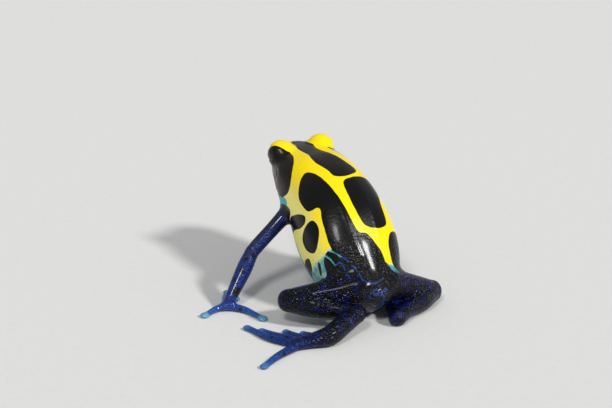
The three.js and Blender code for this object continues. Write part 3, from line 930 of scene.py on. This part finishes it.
# The limbs: dark blue that brightens down to the discs, with blots on the arm, dots on hands and feet, and
# legs so thick with black that the blue is left as flecks
ARM_BLUES = (
    (0.0, (12, 26, 76)),
    (0.4, (10, 34, 98)),
    (0.75, (20, 56, 134)),
    (0.92, (34, 88, 160)),
    (1.0, (96, 158, 188)),
)
LEG_BLUES = (
    (0.0, (10, 20, 92)),
    (0.5, (12, 26, 100)),
    (0.75, (22, 50, 124)),
    (0.92, (34, 76, 142)),
    (1.0, (66, 114, 168)),
)
FLECK, FLECK_EDGE = 0.6, 0.09
FLECK_BLOTCH, FLECK_BALANCE, FLECK_UNEVEN = 1.4, 0.46, 0.7
LIMB_BLOTCH, LIMB_UNEVEN, LIMB_EDGE = 0.9, 0.8, (0.1, 0.9)
DOT_CELL, DOT_EDGE, DOT_DARK = 1.9, (0.2, 0.3), 0.9
DOTS_FROM, DOTS_TO = (0.6, 0.7), (0.86, 0.9)
BLACK_LEG_TO = (0.6, 0.9)


def down_limb(shades):
    """A colour that changes from the top of a limb, 0, to the tips of its digits, 1."""
    stops = [(at, linear(*shade)) for at, shade in shades]
    return skin_paint.node("ValToRGB", {"stops": stops}, {"Fac": reach})


limb_blue = arm.shade(down_limb(LEG_BLUES), down_limb(ARM_BLUES))
unevenness = (grain(FLECK_BLOTCH, detail=3.0) - FLECK_BALANCE) * FLECK_UNEVEN
fleck_edges = pebbles(FLECK, "DISTANCE_TO_EDGE") + unevenness
off_flecks = fleck_edges.rise(0.0, FLECK_EDGE)
dots = (1 - pebbles(DOT_CELL).rise(*DOT_EDGE)) * reach.rise(*DOTS_FROM) * (1 - reach.rise(*DOTS_TO))
black_leg = (1 - arm) * (1 - reach.rise(*BLACK_LEG_TO))
blots = 1 - wavering("limb_gap", amount=0.4, low=-0.12, high=0.12)
dark = (black_leg * off_flecks).most(dots * DOT_DARK).most(blots)
on_limb = (skin_map("off_trunk") + (grain(LIMB_BLOTCH) - 0.5) * LIMB_UNEVEN).rise(*LIMB_EDGE)
colour = on_limb.shade(trunk_colour, dark.shade(limb_blue, LEG_BLACK))

# The wet surface: fine granules on head and back, coarse ones on rump and limbs and most of all on thighs
# and shanks, which glisten. The arms have a thicker film of water.
FINE_GRANULE, COARSE_GRANULE, GRANULE_HEIGHT = 0.28, 0.5, 0.19
FINE_SHARE, LEG_SHARE = 0.1, 1.2  # of the height of the coarse ones, and added to it
SWELL, SWELL_SHARE = 0.8, 0.25
COARSE_FROM, GRAINY_LEG_TO = (36.0, 44.0), (0.3, 0.5)
SHEEN, SHEEN_BLOTCH, SHEEN_CHANGE, LEG_SHEEN = 0.22, 0.6, 0.14, 0.13
FILM, ARM_FILM, LEG_FILM = 0.14, 0.5, 0.06
rough_skin = on_limb.most(along.rise(*COARSE_FROM))
fine, coarse = pebbles(FINE_GRANULE), pebbles(COARSE_GRANULE)
grainy_leg = on_limb * (1 - arm) * (1 - reach.rise(*GRAINY_LEG_TO))
granules = 1 - fine * (1 - rough_skin) * FINE_SHARE - coarse * (rough_skin + grainy_leg * LEG_SHARE)
relief = granules + grain(SWELL) * SWELL_SHARE
bump = skin_paint.node("Bump", {}, {"Height": relief, "Strength": 1.0, "Distance": GRANULE_HEIGHT * MM})
finish_with(
    skin_shader,
    Base_Color=colour,
    Roughness=SHEEN + SHEEN_CHANGE * grain(SHEEN_BLOTCH) - LEG_SHEEN * grainy_leg,
    Coat_Weight=FILM + on_limb * (ARM_FILM * arm - LEG_FILM),
    Normal=bump,
)

skin = new_object("frog_skin", ((points - MIDDLE) * MM).tolist(), faces.tolist(), skin_look)
for name, values in new_maps.items():
    skin.data.attributes.new(name, "FLOAT", "POINT").data.foreach_set("value", values.astype(np.float32))
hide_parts(*[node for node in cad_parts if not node.startswith("eye_")])
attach(skin, "root")


# Each eye is a dark ball, wet and clear in front, held in its socket by the lids. A round pupil sits in an
# iris that is nearly as black, with a thin bronze edge.
EYE_RINGS, EYE_SIDES = 40, 64
CORNEA_RISE, CORNEA_SPREAD = 0.12, 0.75  # mm, and radians from its middle
PUPIL_R, IRIS_R = 0.95, 1.75
PUPIL_EDGE, IRIS_EDGE = 0.05, 0.1
BRONZE_FROM = (PUPIL_R - 0.04, PUPIL_R + 0.02)
BRONZE_TO = (PUPIL_R + 0.04, PUPIL_R + 0.16)
EYE_FLECK, EYE_FLECK_SHARE = 0.25, 0.6
EYE_BLACK, IRIS_BROWN, BRONZE = linear(8, 7, 7), linear(44, 30, 20), linear(96, 70, 36)
eye_look, eye_shader, eye_paint = new_material(
    "wet_eye", Roughness=0.08, Specular_IOR_Level=0.3, Coat_Weight=0.35, Coat_Roughness=0.02
)
from_pupil = eye_paint.node("Attribute", {"attribute_name": "from_pupil"}, out="Fac")
eye_place = eye_paint.node("TexCoord", out="Object")
eye_grain = {"Vector": eye_place, "Scale": 1 / (EYE_FLECK * MM), "Detail": 3.0}
flecks = eye_paint.node("TexNoise", {}, eye_grain)
past_pupil = from_pupil.rise(PUPIL_R - PUPIL_EDGE, PUPIL_R + PUPIL_EDGE)
in_iris = past_pupil * (1 - from_pupil.rise(IRIS_R - IRIS_EDGE, IRIS_R + IRIS_EDGE))
iris = in_iris * (1 - EYE_FLECK_SHARE + flecks * EYE_FLECK_SHARE)
bronze = from_pupil.rise(*BRONZE_FROM) * (1 - from_pupil.rise(*BRONZE_TO))
eye_colour = bronze.shade(iris.shade(EYE_BLACK, IRIS_BROWN), BRONZE)
finish_with(eye_shader, Base_Color=eye_colour)
for name, side in (("left", 1), ("right", -1)):
    out, along_slit, across_slit = eye_axes(side)
    eye_points, edge_of_pupil = [], []
    for i in range(EYE_RINGS + 1):
        turn = math.pi * i / EYE_RINGS
        ring_r = EYEBALL_R * math.sin(turn)
        rise_out = EYEBALL_R * math.cos(turn) + CORNEA_RISE * math.exp(-((turn / CORNEA_SPREAD) ** 4))
        for j in range(EYE_SIDES):
            angle = 2 * math.pi * j / EYE_SIDES
            in_ring = along_slit * math.cos(angle) + across_slit * math.sin(angle)
            eye_points.append(spot_of(EYE * (side, 1, 1) + out * rise_out + ring_r * in_ring))
            edge_of_pupil.append(ring_r if turn < math.pi / 2 else FAR)
    eye_faces = []
    for i in range(EYE_RINGS):
        for j in range(EYE_SIDES):
            k = (j + 1) % EYE_SIDES
            here, there = i * EYE_SIDES, (i + 1) * EYE_SIDES
            corner = [here + j, there + j, there + k, here + k]
            eye_faces.append(corner if side > 0 else corner[::-1])
    ball = new_object("eyeball_" + name, eye_points, eye_faces, eye_look)
    ball.data.attributes.new("from_pupil", "FLOAT", "POINT").data.foreach_set("value", edge_of_pupil)
    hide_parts("eye_" + name)
    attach(ball, "root")
